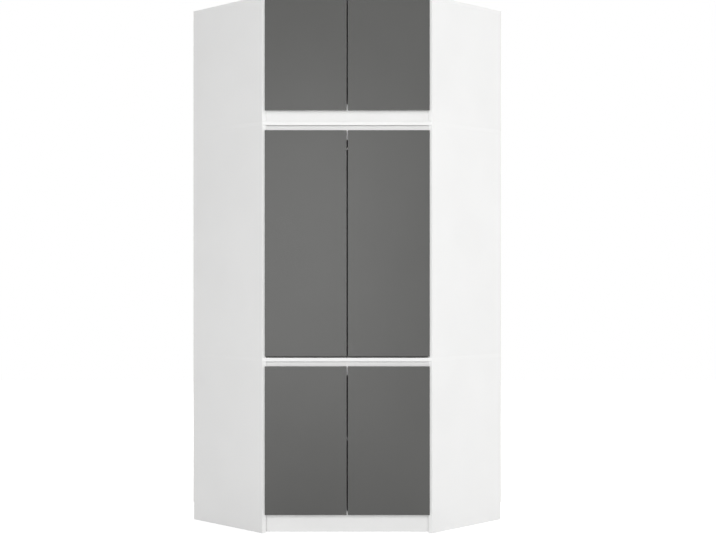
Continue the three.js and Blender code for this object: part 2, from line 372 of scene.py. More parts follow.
# %% Chipboard and hardboard
CHIPS = [(0.36, 0.25, 0.14), (0.62, 0.48, 0.31)]
CHIP_ROUGHNESS = 0.85
HARDBOARD_INSIDE = [(0.78, 0.775, 0.75), (0.82, 0.815, 0.79)]
HARDBOARD_BEHIND = [(0.27, 0.165, 0.085), (0.38, 0.245, 0.14)]
FIBRE_ROUGHNESS = (0.5, 0.7)


def chipboard():
    """Raw edge of a board: pale and dark pressed chips."""
    finish, tree, shader = new_finish("raw_chipboard")
    chips = noise(tree, per_metre=420.0, detail=6.0, squeeze=(1, 1, 2))
    vary_colour(tree, shader, chips, CHIPS)
    shader.inputs["Roughness"].default_value = CHIP_ROUGHNESS
    raise_bump(tree, shader, chips, depth=0.4 * MM, strength=0.8)
    return finish


def hardboard(name, colours):
    """One side of a thin fibreboard, with its fine felted fibres."""
    finish, tree, shader = new_finish(name)
    fibres = noise(tree, per_metre=700.0, detail=5.0, squeeze=(1, 1, 0.4))
    vary_colour(tree, shader, fibres, colours)
    vary_roughness(tree, shader, fibres, FIBRE_ROUGHNESS)
    raise_bump(tree, shader, fibres, depth=0.08 * MM, strength=0.4)
    return finish


raw_core = chipboard()
hardboard_inside = hardboard("white_hardboard", HARDBOARD_INSIDE)
hardboard_behind = hardboard("brown_hardboard", HARDBOARD_BEHIND)
print("raw and back finishes:", raw_core.name, "and", hardboard_behind.name)


# %% Metal and plastic finishes
NICKEL = (0.66, 0.65, 0.62)
ZINC = (0.56, 0.57, 0.58)
CHROME = (0.78, 0.78, 0.79)
CAP_WHITE = [(0.80, 0.80, 0.79), (0.83, 0.83, 0.82)]
DULLED = 0.94


def plated(name, colour, roughness, per_metre, strength):
    """Plated metal: a slightly uneven sheen, as the polishing left it."""
    finish, tree, shader = new_finish(name, metallic=1.0)
    marks = noise(tree, per_metre, detail=3.0)
    dulled = tuple(channel * DULLED for channel in colour)
    vary_colour(tree, shader, marks, [dulled, colour])
    vary_roughness(tree, shader, marks, roughness)
    raise_bump(tree, shader, marks, depth=0.02 * MM, strength=strength)
    return finish


nickel = plated("nickel_plate", NICKEL, roughness=(0.24, 0.36), per_metre=300.0, strength=0.3)
zinc = plated("zinc_plate", ZINC, roughness=(0.32, 0.46), per_metre=500.0, strength=0.5)
chrome = plated("chrome_plate", CHROME, roughness=(0.06, 0.13), per_metre=60.0, strength=0.1)
cap_plastic = edge_band("white_cap_plastic", CAP_WHITE)
print("finishes:", len(bpy.data.materials))

# %% [markdown]
# ## Sawing a board
# Every board of the wardrobe is a flat sheet with straight edges, square to each other or at 45
# degrees, apart from a mitre on the side panels. It can be made as the joiner makes it: start
# with a block of the overall size, then saw off the corners with the bisect tool, which also
# closes the cut. Then all edges are eased with a small bevel, because no real board has a
# knife-sharp edge, and it is this bevel that catches the light and draws the fine line where two
# boards meet.


# %% Block, saw and bevel
def only(piece):
    """Makes a piece the one that is selected and active."""
    bpy.ops.object.select_all(action="DESELECT")
    bpy.context.view_layer.objects.active = piece
    piece.select_set(True)


def block(name, low, high):
    """A rectangular block between two corners."""
    low, high = Vector(low), Vector(high)
    bpy.ops.object.select_all(action="DESELECT")
    bpy.ops.mesh.primitive_cube_add(size=1, location=(low + high) / 2)
    piece = bpy.context.object
    piece.name = name
    piece.scale = high - low
    bpy.ops.object.transform_apply(location=True, rotation=True, scale=True)
    return piece


def saw(direction, distance):
    """Cuts off the active piece beyond a plane, and fills the cut."""
    bpy.ops.object.mode_set(mode="EDIT")
    bpy.ops.mesh.select_all(action="SELECT")
    bpy.ops.mesh.bisect(
        plane_co=direction * distance, plane_no=direction, use_fill=True, clear_outer=True
    )
    bpy.ops.object.mode_set(mode="OBJECT")


def ease_edges(radius, segments):
    bpy.ops.object.mode_set(mode="EDIT")
    bpy.ops.mesh.select_all(action="SELECT")
    bpy.ops.mesh.bevel(offset=radius, segments=segments, affect="EDGES")
    bpy.ops.object.mode_set(mode="OBJECT")


# %% Sawing out a board
FLUSH = 0.01 * MM


def sawn_board(node, cuts):
    """The board of a node, cut from a block of its size where it stands back from a plane."""
    piece = block(f"{node}_made", *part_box(node))
    for direction in cuts:
        distance = reach(node, direction)
        if farthest(piece, direction) - distance > FLUSH:
            saw(direction, distance)
    return piece


# %% [markdown]
# ## Faces, bands and raw edges
# A board has two printed faces. Its narrow sides are banded where they show, and stay raw
# chipboard where they don't, at the back and under the feet. The faces are the two largest
# polygons, so their normal tells them apart from the narrow sides.


# %% Finishing a board
SAME_WAY = 0.9
SQUARELY = 0.95
ON_FACE, ON_BAND, ON_RAW = range(3)


def paint_board(piece, face, band, raw_directions):
    for finish in (face, band, raw_core):
        piece.data.materials.append(finish)
    largest = max(piece.data.polygons, key=lambda polygon: polygon.area).normal.copy()
    for polygon in piece.data.polygons:
        if abs(polygon.normal.dot(largest)) > SAME_WAY:
            polygon.material_index = ON_FACE
        elif any(polygon.normal.dot(raw) > SQUARELY for raw in raw_directions):
            polygon.material_index = ON_RAW
        else:
            polygon.material_index = ON_BAND


def settle(piece, node):
    """The piece stands for a node: it moves with the node's body and hides the node's part."""
    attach(piece, frame["nodes"][node]["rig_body"])
    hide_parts(node)


# %% [markdown]
# ## The white carcass
# The side panels run back at 45 degrees. Their front edge is mitred, halfway between a square
# cut and the plane of the doors, so that it shows at its full width beside a door. The cut has
# a direction of its own for each side.

# %% Carcass boards
BOARD_EASE = 0.5 * MM
MITRE = math.radians(22.5)
REAR = [Vector((x * ROOT_HALF, ROOT_HALF, 0)) for x in (-1, 1)]
FLAT_BOARDS = [
    "bottom_board",
    "mid_board",
    "main_top_board",
    "top_unit_bottom_board",
    "top_unit_top_board",
    "lower_shelf",
    "plinth_board",
    "lower_front_rail",
    "middle_front_rail",
    "top_unit_front_rail",
    "corner_post",
    "top_unit_corner_post",
]
POSTS = ("corner_post", "top_unit_corner_post")
FEET = ("lower_side_left", "lower_side_right", "plinth_board", "corner_post")


def raw_sides(node):
    """Where a board stays raw: behind, if it isn't a post, and underneath, if it is a foot."""
    behind = [] if node in POSTS else REAR
    below = [-UP] if node in FEET else []
    return [*behind, *below]


cuts = {node: DIAGONALS for node in FLAT_BOARDS}
for side, sign in SIDES.items():
    mitre = Vector((-sign * math.sin(MITRE), -math.cos(MITRE), 0))
    for section in SECTIONS:
        cuts[f"{section}_side_{side}"] = [*DIAGONALS, mitre]

carcass = {}
for node, directions in cuts.items():
    piece = sawn_board(node, directions)
    ease_edges(BOARD_EASE, segments=2)
    paint_board(piece, white_face, white_band, raw_sides(node))
    carcass[node] = piece
print("white boards:", len(carcass))

# %% [markdown]
# ## Notches for the corner posts
# A square post stands in the corner of the room and carries the two backs. The boards that it
# passes are notched for it. The notch is cut by a Boolean with a block that is a little larger
# than the post. A Boolean can leave points that nearly touch, which would spoil a later bevel, so
# they are merged after each cut.

# %% Cutting and joining
TOUCHING = 0.1 * MM


def merge_touching_points():
    bpy.ops.object.mode_set(mode="EDIT")
    bpy.ops.mesh.select_all(action="SELECT")
    bpy.ops.mesh.remove_doubles(threshold=TOUCHING)
    bpy.ops.object.mode_set(mode="OBJECT")


def combine(piece, other, operation):
    """Joins another piece to this one or cuts it away, and uses the other piece up."""
    only(piece)
    change = piece.modifiers.new("change", "BOOLEAN")
    change.operation = operation
    change.solver = "EXACT"
    change.object = other
    bpy.ops.object.modifier_apply(modifier=change.name)
    bpy.data.objects.remove(other)
    merge_touching_points()


# %% Notches
FIT_GAP = 0.3 * MM
NOTCHES = {
    "bottom_board": "corner_post",
    "mid_board": "corner_post",
    "lower_shelf": "corner_post",
    "top_unit_bottom_board": "top_unit_corner_post",
}
for node, post in NOTCHES.items():
    low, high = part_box(post)
    half_width = (high.x - low.x) * ROOT_HALF / 2 + FIT_GAP
    middle = (low + high) / 2
    corner = Vector((half_width, half_width, (high.z - low.z) / 2))
    cutter = block("cutter", -corner, corner)
    cutter.data.transform(Matrix.Translation(middle) @ Matrix.Rotation(EIGHTH_TURN, 4, "Z"))
    combine(carcass[node], cutter, "DIFFERENCE")

for node, piece in carcass.items():
    settle(piece, node)
print("notched:", ", ".join(NOTCHES))

# %% [markdown]
# ## Backs
# The backs are 3 mm hardboard, nailed on from behind: white inside and at the upright edges, and
# brown to the wall and at the level edges. The finish is chosen by the way that a face looks.

# %% Hardboard backs
BACK_SECTIONS = ("main", "top_unit")
BACK_EASE = 0.2 * MM
UPWARDS = 0.5

for section in BACK_SECTIONS:
    for side, sign in SIDES.items():
        node = f"{section}_back_{side}"
        piece = sawn_board(node, DIAGONALS)
        ease_edges(BACK_EASE, segments=1)
        piece.data.materials.append(hardboard_inside)
        piece.data.materials.append(hardboard_behind)
        outward = Vector((sign * ROOT_HALF, ROOT_HALF, 0))
        for polygon in piece.data.polygons:
            level = abs(polygon.normal.z) > UPWARDS
            polygon.material_index = int(level or polygon.normal.dot(outward) > SAME_WAY)
        settle(piece, node)
print("backs made")

# %% [markdown]
# ## Doors
# A door is a plain board with a 1 mm plastic band on all four edges, rounded to a radius of
# about a millimetre. Behind, it has a round bore for each hinge cup. The bores are cut after the
# edges are eased, so their rims stay sharp, as a drill leaves them.


# %% Round bars
def round_bar(name, start, end, radius, vertices=48):
    """A cylinder between two points."""
    start, end = Vector(start), Vector(end)
    bpy.ops.object.select_all(action="DESELECT")
    bpy.ops.mesh.primitive_cylinder_add(
        vertices=vertices,
        radius=radius,
        depth=(end - start).length,
        location=(start + end) / 2,
        rotation=(end - start).to_track_quat("Z", "Y").to_euler(),
    )
    piece = bpy.context.object
    piece.name = name
    bpy.ops.object.transform_apply(location=True, rotation=True, scale=True)
    return piece


# %% Six doors
DOOR_EASE = 1.0 * MM
BORE_RADIUS = 17.8 * MM
ROWS = {"lower": 2, "middle": 3, "top": 2}

for row, hinges in ROWS.items():
    for side in SIDES:
        node = f"{row}_door_{side}"
        door = block(f"{node}_made", *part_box(node))
        ease_edges(DOOR_EASE, segments=3)
        paint_board(door, graphite_face, graphite_band, [])
        for number in range(1, hinges + 1):
            low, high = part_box(f"{row}_hinge_cup_{side}_{number}")
            middle = (low + high) / 2
            floor_end = (middle.x, low.y - FIT_GAP, middle.z)
            open_end = (middle.x, high.y + board, middle.z)
            bore = round_bar("bore", floor_end, open_end, BORE_RADIUS)
            combine(door, bore, "DIFFERENCE")
        settle(door, node)
print("doors made")

# %% [markdown]
# ## A bench for small pieces
# Hinges, screws and caps repeat many times, so each is modelled once at the origin, as on a
# bench, and then copied to its places, each copy with its own mesh. On the bench a piece for a
# side panel has X off the panel's inner face, Y forwards along the panel and Z up. Only places
# on the right are worked out. A place on the left is the same one after half a turn about Y,
# which keeps the shape the right way out, where a mirror would turn it inside out.

# %% Bench places
OFF = Vector((-ROOT_HALF, ROOT_HALF, 0))
FORWARD = Vector((-ROOT_HALF, -ROOT_HALF, 0))
HALF_TURN = Matrix.Rotation(math.pi, 4, "Y")

inner_face = board - reach("lower_side_right", -OFF)
front_tip = reach("lower_side_right", FORWARD) - board * math.tan(MITRE)
print(f"inner face {inner_face:.4f}, front tip {front_tip:.4f}")


def from_axes(x_axis, y_axis, z_axis, origin):
    place = Matrix((x_axis, y_axis, z_axis)).transposed().to_4x4()
    place.translation = origin
    return place


def on_panel(behind):
    """A place on the right panel's inner face, that far behind its front tip."""
    return from_axes(OFF, FORWARD, UP, OFF * inner_face + FORWARD * (front_tip - behind))


def at(side, height, place):
    """The place on the given side at a height, from its right-hand place at height 0."""
    turned = HALF_TURN @ place if side == "left" else place
    return Matrix.Translation(UP * height) @ turned


# %% Copying and joining
def copy_to(source, name, place):
    piece = bpy.data.objects.new(name, source.data.copy())
    piece.data.transform(place)
    bpy.context.scene.collection.objects.link(piece)
    return piece


def join(name, pieces):
    """Joins pieces to one object with separate shells."""
    bpy.ops.object.select_all(action="DESELECT")
    for piece in pieces:
        piece.select_set(True)
    bpy.context.view_layer.objects.active = pieces[0]
    bpy.ops.object.join()
    pieces[0].name = name
    return pieces[0]


# %% [markdown]
# ## Choosing faces and edges
# By hand, one clicks the faces to inset or the edges to round. In code they are found by where
# they lie: a short test on a face, or the way that an edge runs and a test on its middle. Metal
# pieces get their sharp edges softened before their shapes grow too complicated for it. At the
# end only the faces round a curve are smoothed, so that flat faces stay flat.

# %% Choosing faces and edges
BENCH_X, BENCH_Y, BENCH_Z = Vector((1, 0, 0)), Vector((0, 1, 0)), Vector((0, 0, 1))
NEAR = 0.05 * MM
ALONG = 0.99


def facing(direction, least=SAME_WAY):
    """A test for faces that look in a direction."""
    return lambda face: face.normal.dot(direction) > least


def anywhere(middle):
    return True


def choose_faces(piece, test):
    """Goes into edit mode with the faces selected that pass the test."""
    only(piece)
    bpy.ops.object.mode_set(mode="EDIT")
    bpy.ops.mesh.select_mode(type="FACE")
    bpy.ops.mesh.select_all(action="DESELECT")
    bpy.ops.object.mode_set(mode="OBJECT")
    for polygon in piece.data.polygons:
        polygon.select = test(polygon)
    bpy.ops.object.mode_set(mode="EDIT")


def choose_edges(piece, run, test=anywhere):
    """Goes into edit mode with the edges selected that run that way, with a passing middle."""
    only(piece)
    bpy.ops.object.mode_set(mode="EDIT")
    bpy.ops.mesh.select_mode(type="EDGE")
    bpy.ops.mesh.select_all(action="DESELECT")
    bpy.ops.object.mode_set(mode="OBJECT")
    points = piece.data.vertices
    for edge in piece.data.edges:
        first, second = (points[index].co for index in edge.vertices)
        runs = abs((second - first).normalized().dot(run)) > ALONG
        edge.select = runs and test((first + second) / 2)
    bpy.ops.object.mode_set(mode="EDIT")


# %% Rounding and smoothing
SHARP = math.radians(40)
ROUND = math.radians(35)


def round_chosen(radius, segments):
    bpy.ops.mesh.bevel(offset=radius, segments=segments, affect="EDGES")
    bpy.ops.object.mode_set(mode="OBJECT")


def smooth_round_faces(piece):
    only(piece)
    bpy.ops.object.shade_smooth_by_angle(angle=ROUND)


def soften(piece, radius):
    """Rounds all sharp edges a little."""
    only(piece)
    edges = piece.modifiers.new("edges", "BEVEL")
    edges.width = radius
    edges.segments = 2
    edges.limit_method = "ANGLE"
    edges.angle_limit = SHARP
    bpy.ops.object.modifier_apply(modifier=edges.name)


def finish_metal(piece, finish):
    """Smooths the round faces only and gives the finish."""
    smooth_round_faces(piece)
    flats = piece.modifiers.new("flats", "WEIGHTED_NORMAL")
    flats.keep_sharp = True
    bpy.ops.object.modifier_apply(modifier=flats.name)
    piece.data.materials.clear()
    piece.data.materials.append(finish)


# %% [markdown]
# ## Screws
# All visible screws are cross-head: a low round head with an eased rim, and a cross cut into it
# with two small blocks. The head stands on z = 0 and goes down a little under it, so that it
# never floats over the piece that it holds.

# %% Cross-head screw
SCREW_ROOT = 0.6 * MM
HEAD_ROUND_SHARE = 0.45
RECESS_SHARE = 0.62
SLOT_SHARE = 0.17
SLOT_FLOOR_SHARE = 0.3


def cross_screw(name, radius, height):
    head = round_bar(name, (0, 0, -SCREW_ROOT), (0, 0, height), radius, vertices=24)
    choose_faces(head, facing(BENCH_Z))
    round_chosen(height * HEAD_ROUND_SHARE, segments=2)
    length, width = radius * RECESS_SHARE, radius * SLOT_SHARE
    slot_floor, slot_top = height * SLOT_FLOOR_SHARE, height * 2
    for half_x, half_y in ((length, width), (width, length)):
        slot = block("slot", (-half_x, -half_y, slot_floor), (half_x, half_y, slot_top))
        combine(head, slot, "DIFFERENCE")
    smooth_round_faces(head)
    head.data.materials.append(zinc)
    return head


plate_screw = cross_screw("plate_screw", radius=3.6 * MM, height=1.1 * MM)
adjusting_screw = cross_screw("adjusting_screw", radius=2.7 * MM, height=1.0 * MM)
TO_BENCH_X = Matrix.Rotation(QUARTER_TURN, 4, "Y")
TO_BENCH_Y = Matrix.Rotation(-QUARTER_TURN, 4, "X")
print("screw faces:", len(plate_screw.data.polygons))

# %% [markdown]
# ## Hinge arms
# The arm of a concealed hinge is a pressed steel channel on a mounting plate that is screwed to
# the side panel. Plate, saddle and arm are three blocks, rounded where the real ones are, and
# joined. The arm narrows towards its front, and its end is cut parallel to the closed doors. A
# groove on top holds the two adjusting screws, and a rivet near the front carries the lever.

# %% Hinge arm measures
ARM_NODE = "lower_hinge_arm_right_1"
ARM_TAIL = 25 * MM
ARM_UNSAWN = 60 * MM
ARM_TOP = 8.8 * MM
ARM_HALF = 7 * MM
ARM_NARROWING = 0.75
ARM_TAIL_ROUND = 0.8 * ARM_HALF
ARM_TOP_ROUND = 0.2 * ARM_HALF
PLATE_TOP = 2.8 * MM
PLATE_HALF = (9 * MM, 25 * MM)
PLATE_ROUND = 5 * MM
SADDLE_TOP = 4.6 * MM
SADDLE_HALF = (12 * MM, 9.5 * MM)
SADDLE_ROUND = 3 * MM
GROOVE_DEPTH = 1.6 * MM
GROOVE_LIP = 1.5 * MM
RIVET = (6 * MM, 45 * MM, 6.4 * MM)
PIN_RADIUS = 1.7 * MM
STEEL_EASE = 0.25 * MM
PLATE_SCREW_RISE = 17 * MM
ADJUSTING_SCREWS = (14 * MM, -12 * MM)
BENCH_FRONT = Vector((FRONT.dot(OFF), FRONT.dot(FORWARD), 0))

arm_behind = front_tip + reach(ARM_NODE, -FORWARD) - ARM_TAIL
arm_place = on_panel(arm_behind)
arm_end = reach(ARM_NODE, FRONT) - arm_place.translation.dot(FRONT)
print(f"plate {arm_behind / MM:.1f} mm behind the tip, arm end at {arm_end / MM:.1f} mm")


# %% Hinge arm shapes
def rounded_plate(name, half_y, half_z, top, radius):
    plate = block(name, (FIT_GAP, -half_y, -half_z), (top, half_y, half_z))
    choose_edges(plate, BENCH_X)
    round_chosen(radius, segments=5)
    return plate


def arm_body():
    arm = block("arm", (PLATE_TOP / 2, -ARM_TAIL, -ARM_HALF), (ARM_TOP, ARM_UNSAWN, ARM_HALF))
    choose_faces(arm, facing(BENCH_Y))
    bpy.ops.transform.resize(value=(1, 1, ARM_NARROWING), center_override=(0, 0, 0))
    bpy.ops.object.mode_set(mode="OBJECT")
    choose_edges(arm, BENCH_X, lambda middle: middle.y < 0)
    round_chosen(ARM_TAIL_ROUND, segments=5)
    saw(BENCH_FRONT, arm_end)
    choose_faces(arm, facing(BENCH_X))
    round_chosen(ARM_TOP_ROUND, segments=3)
    choose_faces(arm, facing(BENCH_X, least=ALONG))
    bpy.ops.mesh.inset(thickness=GROOVE_LIP)
    bpy.ops.mesh.extrude_region_move(TRANSFORM_OT_translate={"value": (-GROOVE_DEPTH, 0, 0)})
    bpy.ops.object.mode_set(mode="OBJECT")
    return arm


# %% Hinge arm on the bench
def hinge_arm():
    metal = rounded_plate("hinge_arm", *PLATE_HALF, PLATE_TOP, PLATE_ROUND)
    combine(metal, rounded_plate("saddle", *SADDLE_HALF, SADDLE_TOP, SADDLE_ROUND), "UNION")
    combine(metal, arm_body(), "UNION")
    rivet_x, rivet_y, rivet_half = RIVET
    rivet_ends = [(rivet_x, rivet_y, z) for z in (-rivet_half, rivet_half)]
    combine(metal, round_bar("rivet", *rivet_ends, PIN_RADIUS, vertices=20), "UNION")
    soften(metal, STEEL_EASE)
    finish_metal(metal, nickel)
    screws = []
    for z in (-PLATE_SCREW_RISE, PLATE_SCREW_RISE):
        seat = Matrix.Translation((PLATE_TOP, 0, z)) @ TO_BENCH_X
        screws.append(copy_to(plate_screw, "screw", seat))
    for y in ADJUSTING_SCREWS:
        seat = Matrix.Translation((ARM_TOP - GROOVE_DEPTH, y, 0)) @ TO_BENCH_X
        screws.append(copy_to(adjusting_screw, "screw", seat))
    return join("hinge_arm", [metal, *screws])


bench_arm = hinge_arm()
print("hinge arm faces:", len(bench_arm.data.polygons))

# %% [markdown]
# ## Hinge cups
# The cup is pressed from one sheet: a pot that is sunk into the door, a rim on the door's back,
# and two wings with a screw each. Inside it has a rounded floor and the pin on which the lever
# turns. Its bench has X across the door, Y backwards out of it and Z up, with the origin on the
# door's back.

# %% Hinge cup measures
cup_low, cup_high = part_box("lower_hinge_cup_right_1")
door_low, door_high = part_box("lower_door_right")
cup_place = Matrix.Translation(((cup_low.x + cup_high.x) / 2, door_high.y, 0))
cup_depth = door_high.y - cup_low.y
cup_proud = cup_high.y - door_high.y
rim_radius = (cup_high.x - cup_low.x) / 2
wing_reach = (cup_high.z - cup_low.z) / 2
POT_RADIUS = 17.4 * MM
CUP_WALL = 1.2 * MM
CUP_FLOOR_ROUND = 3 * MM
WING_HALF = 7 * MM
WING_ROUND = 0.97 * WING_HALF
WING_STEP = 0.3 * MM
PIN = (-4.7 * MM, -7 * MM)
PIN_INSET = 1.6 * CUP_WALL
wing_top = cup_proud - WING_STEP
print(f"cup depth {cup_depth / MM:.1f} mm, rim radius {rim_radius / MM:.1f} mm")


# %% Hinge cup on the bench
def cup_rim():
    rim = round_bar("rim", (0, FIT_GAP, 0), (0, cup_proud, 0), rim_radius)
    soften(rim, STEEL_EASE)
    return rim


def cup_wings():
    low = (-WING_HALF, FIT_GAP, -wing_reach)
    high = (WING_HALF, wing_top, wing_reach)
    wings = block("wings", low, high)
    choose_edges(wings, BENCH_Y)
    round_chosen(WING_ROUND, segments=6)
    soften(wings, STEEL_EASE)
    return wings


def cup_hollow():
    inner = POT_RADIUS - CUP_WALL
    hollow = round_bar("hollow", (0, CUP_WALL - cup_depth, 0), (0, cup_depth, 0), inner)
    choose_faces(hollow, facing(-BENCH_Y))
    round_chosen(CUP_FLOOR_ROUND, segments=4)
    return hollow


def hinge_cup():
    metal = round_bar("hinge_cup", (0, -cup_depth, 0), (0, cup_proud / 2, 0), POT_RADIUS)
    combine(metal, cup_rim(), "UNION")
    combine(metal, cup_wings(), "UNION")
    combine(metal, cup_hollow(), "DIFFERENCE")
    finish_metal(metal, nickel)
    pin_half = POT_RADIUS - PIN_INSET
    pin_ends = [(*PIN, z) for z in (-pin_half, pin_half)]
    pin = round_bar("pin", *pin_ends, PIN_RADIUS, vertices=20)
    finish_metal(pin, zinc)
    screws = []
    for z in (WING_HALF - wing_reach, wing_reach - WING_HALF):
        seat = Matrix.Translation((0, wing_top, z)) @ TO_BENCH_Y
        screws.append(copy_to(plate_screw, "screw", seat))
    return join("hinge_cup", [metal, pin, *screws])


bench_cup = hinge_cup()
print("hinge cup faces:", len(bench_cup.data.polygons))

# %% [markdown]
# ## Hinge levers
# A curved steel lever leads from the rivet in the arm round the edge of the door to the pin in
# the cup. On the real hinge it unfolds as the door opens. Here it is one fixed curved strip
# between the two. The strip is drawn out of one edge, step by step along its path, and Solidify
# gives it its thickness. The path is given from the axis of the door, at its outer front edge.

# %% Lever path
LEVER_WIDTH = 9 * MM
LEVER_THICKNESS = 1.8 * MM
LEVER_PATH = [
    (-11 * MM, 21 * MM),
    (-14.5 * MM, 22 * MM),
    (-18 * MM, 22 * MM),
    (-21.5 * MM, 21 * MM),
    (-24.3 * MM, 18.5 * MM),
    (-26 * MM, 15.5 * MM),
    (-27 * MM, 12 * MM),
    (-27.2 * MM, 9 * MM),
]
lever_place = Matrix.Translation((door_high.x, door_low.y, 0))


# %% Hinge lever on the bench
def first_strip(start, end):
    """A plane from start to end, as wide as the lever."""
    step = end - start
    bpy.ops.object.select_all(action="DESELECT")
    bpy.ops.mesh.primitive_plane_add(
        size=1,
        location=(start + end) / 2,
        rotation=(QUARTER_TURN, 0, math.atan2(step.y, step.x)),
    )
    strip = bpy.context.object
    strip.scale = (step.length, LEVER_WIDTH, 1)
    bpy.ops.object.transform_apply(location=True, rotation=True, scale=True)
    return strip


def hinge_lever():
    points = [Vector((x, y, 0)) for x, y in LEVER_PATH]
    strip = first_strip(points[0], points[1])
    choose_edges(strip, BENCH_Z, lambda middle: (middle - points[1]).length < NEAR)
    for start, end in zip(points[1:], points[2:]):
        bpy.ops.mesh.extrude_region_move(TRANSFORM_OT_translate={"value": end - start})
    bpy.ops.mesh.select_all(action="SELECT")
    bpy.ops.mesh.normals_make_consistent(inside=False)
    bpy.ops.object.mode_set(mode="OBJECT")
    wall = strip.modifiers.new("wall", "SOLIDIFY")
    wall.thickness = LEVER_THICKNESS
    wall.offset = 0
    bpy.ops.object.modifier_apply(modifier=wall.name)
    soften(strip, STEEL_EASE)
    finish_metal(strip, nickel)
    return strip


bench_lever = hinge_lever()
print("lever faces:", len(bench_lever.data.polygons))


# %% Fourteen hinges
def fit_hinge(row, side, number):
    arm_node = f"{row}_hinge_arm_{side}_{number}"
    cup_node = f"{row}_hinge_cup_{side}_{number}"
    low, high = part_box(arm_node)
    height = (low.z + high.z) / 2
    arm = copy_to(bench_arm, f"{arm_node}_made", at(side, height, arm_place))
    settle(arm, arm_node)
    cup = copy_to(bench_cup, f"{cup_node}_made", at(side, height, cup_place))
    settle(cup, cup_node)
    place = at(side, height, lever_place)
    lever = copy_to(bench_lever, f"{row}_hinge_lever_{side}_{number}", place)
    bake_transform(lever)


for row, hinges in ROWS.items():
    for side in SIDES:
        for number in range(1, hinges + 1):
            fit_hinge(row, side, number)
for piece in (bench_arm, bench_cup, bench_lever):
    bpy.data.objects.remove(piece)
print("hinges fitted:", len(SIDES) * sum(ROWS.values()))

# %% [markdown]
# ## Clothes rail
# The rail is a chrome tube with a wall of 1.2 mm, closed by a domed cap at each end. The tube is
# an open cylinder, and Solidify gives it its wall towards the inside.

# %% Rail tube and caps
RAIL_WALL = 1.2 * MM
CAP_LIP = 0.8 * MM
CAP_THICKNESS = 3.5 * MM
CAP_DOME = 0.9 * CAP_THICKNESS
PLUG_PLAY = 0.1 * MM
PLUG_DEPTH = 12 * MM
PLUG_IN_LIP = 0.4 * CAP_THICKNESS

rail_low, rail_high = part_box("clothes_rail")
rail_centre = (rail_low + rail_high) / 2
rail_radius = (rail_high.z - rail_low.z) / 2


def rail_tube():
    ends = [Vector((x, rail_centre.y, rail_centre.z)) for x in (rail_low.x, rail_high.x)]
    tube = round_bar("clothes_rail_made", *ends, rail_radius, vertices=64)
    choose_faces(tube, lambda face: abs(face.normal.x) > SAME_WAY)
    bpy.ops.mesh.delete(type="ONLY_FACE")
    bpy.ops.object.mode_set(mode="OBJECT")
    wall = tube.modifiers.new("wall", "SOLIDIFY")
    wall.thickness = RAIL_WALL
    wall.offset = -1
    bpy.ops.object.modifier_apply(modifier=wall.name)
    soften(tube, STEEL_EASE)
    finish_metal(tube, chrome)
    return tube


def rail_cap(side, sign):
    """A plug in the tube with a lip over its end and a domed face."""
    mouth = Vector((sign * rail_high.x, rail_centre.y, rail_centre.z))
    outwards = Vector((sign, 0, 0))
    plug = round_bar(
        f"clothes_rail_cap_{side}",
        mouth - outwards * PLUG_DEPTH,
        mouth + outwards * PLUG_IN_LIP,
        rail_radius - RAIL_WALL - PLUG_PLAY,
    )
    lip_radius = rail_radius + CAP_LIP
    lip = round_bar("lip", mouth, mouth + outwards * CAP_THICKNESS, lip_radius)
    choose_faces(lip, facing(outwards))
    round_chosen(CAP_DOME, segments=5)
    combine(plug, lip, "UNION")
    finish_metal(plug, chrome)
    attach(plug, "carcass")


settle(rail_tube(), "clothes_rail")
for side, sign in SIDES.items():
    rail_cap(side, sign)
print(f"rail {(rail_high.x - rail_low.x) / MM:.0f} mm long")

# %% [markdown]
# ## Rail brackets
# Each bracket is a casting: a ring round the rail, a stem, and a flange under the main top board
# with two screws. Stem and flange are joined and the inner corners under the flange are filled
# with a round. The edges are softened before the ring is joined, while the shapes are still
# simple, and the hole for the rail comes last. Its bench has the axis of the rail on X.

# %% Bracket measures
bracket_low, bracket_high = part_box("rail_bracket_right")
bracket_half = (bracket_high.x - bracket_low.x) / 2
flange_half = (bracket_high.y - bracket_low.y) / 2
flange_top = bracket_high.z - rail_centre.z
ring_radius = rail_centre.z - bracket_low.z
STEM_HALF = 8 * MM
FLANGE_THICKNESS = 4 * MM
FLANGE_ROUND = 4.2 * MM
CORNER_ROUND = 5 * MM
CASTING_EASE = 0.6 * MM
SCREW_SHARE = 0.68
flange_under = flange_top - FLANGE_THICKNESS
print(f"bracket flange {flange_top / MM:.1f} mm over the rail")


# %% Bracket on the bench
def under_flange(middle):
    return abs(middle.z - flange_under) < NEAR and abs(middle.y) < flange_half / 2


def rail_bracket():
    casting = round_bar("bracket", (-bracket_half, 0, 0), (bracket_half, 0, 0), ring_radius)
    stem = block("stem", (-bracket_half, -STEM_HALF, 0), (bracket_half, STEM_HALF, flange_top))
    flange_low = (-bracket_half, -flange_half, flange_under)
    flange = block("flange", flange_low, (bracket_half, flange_half, flange_top))
    choose_edges(flange, BENCH_Z)
    round_chosen(FLANGE_ROUND, segments=5)
    combine(stem, flange, "UNION")
    choose_edges(stem, BENCH_X, under_flange)
    round_chosen(CORNER_ROUND, segments=5)
    for piece in (casting, stem):
        soften(piece, CASTING_EASE)
    combine(casting, stem, "UNION")
    hole = round_bar("hole", (-board, 0, 0), (board, 0, 0), rail_radius + FIT_GAP)
    combine(casting, hole, "DIFFERENCE")
    finish_metal(casting, chrome)
    screws = []
    for share in (-SCREW_SHARE, SCREW_SHARE):
        y = share * flange_half
        seat = Matrix.Translation((0, y, flange_under)) @ Matrix.Rotation(math.pi, 4, "X")
        screws.append(copy_to(plate_screw, "screw", seat))
    return join("bracket", [casting, *screws])


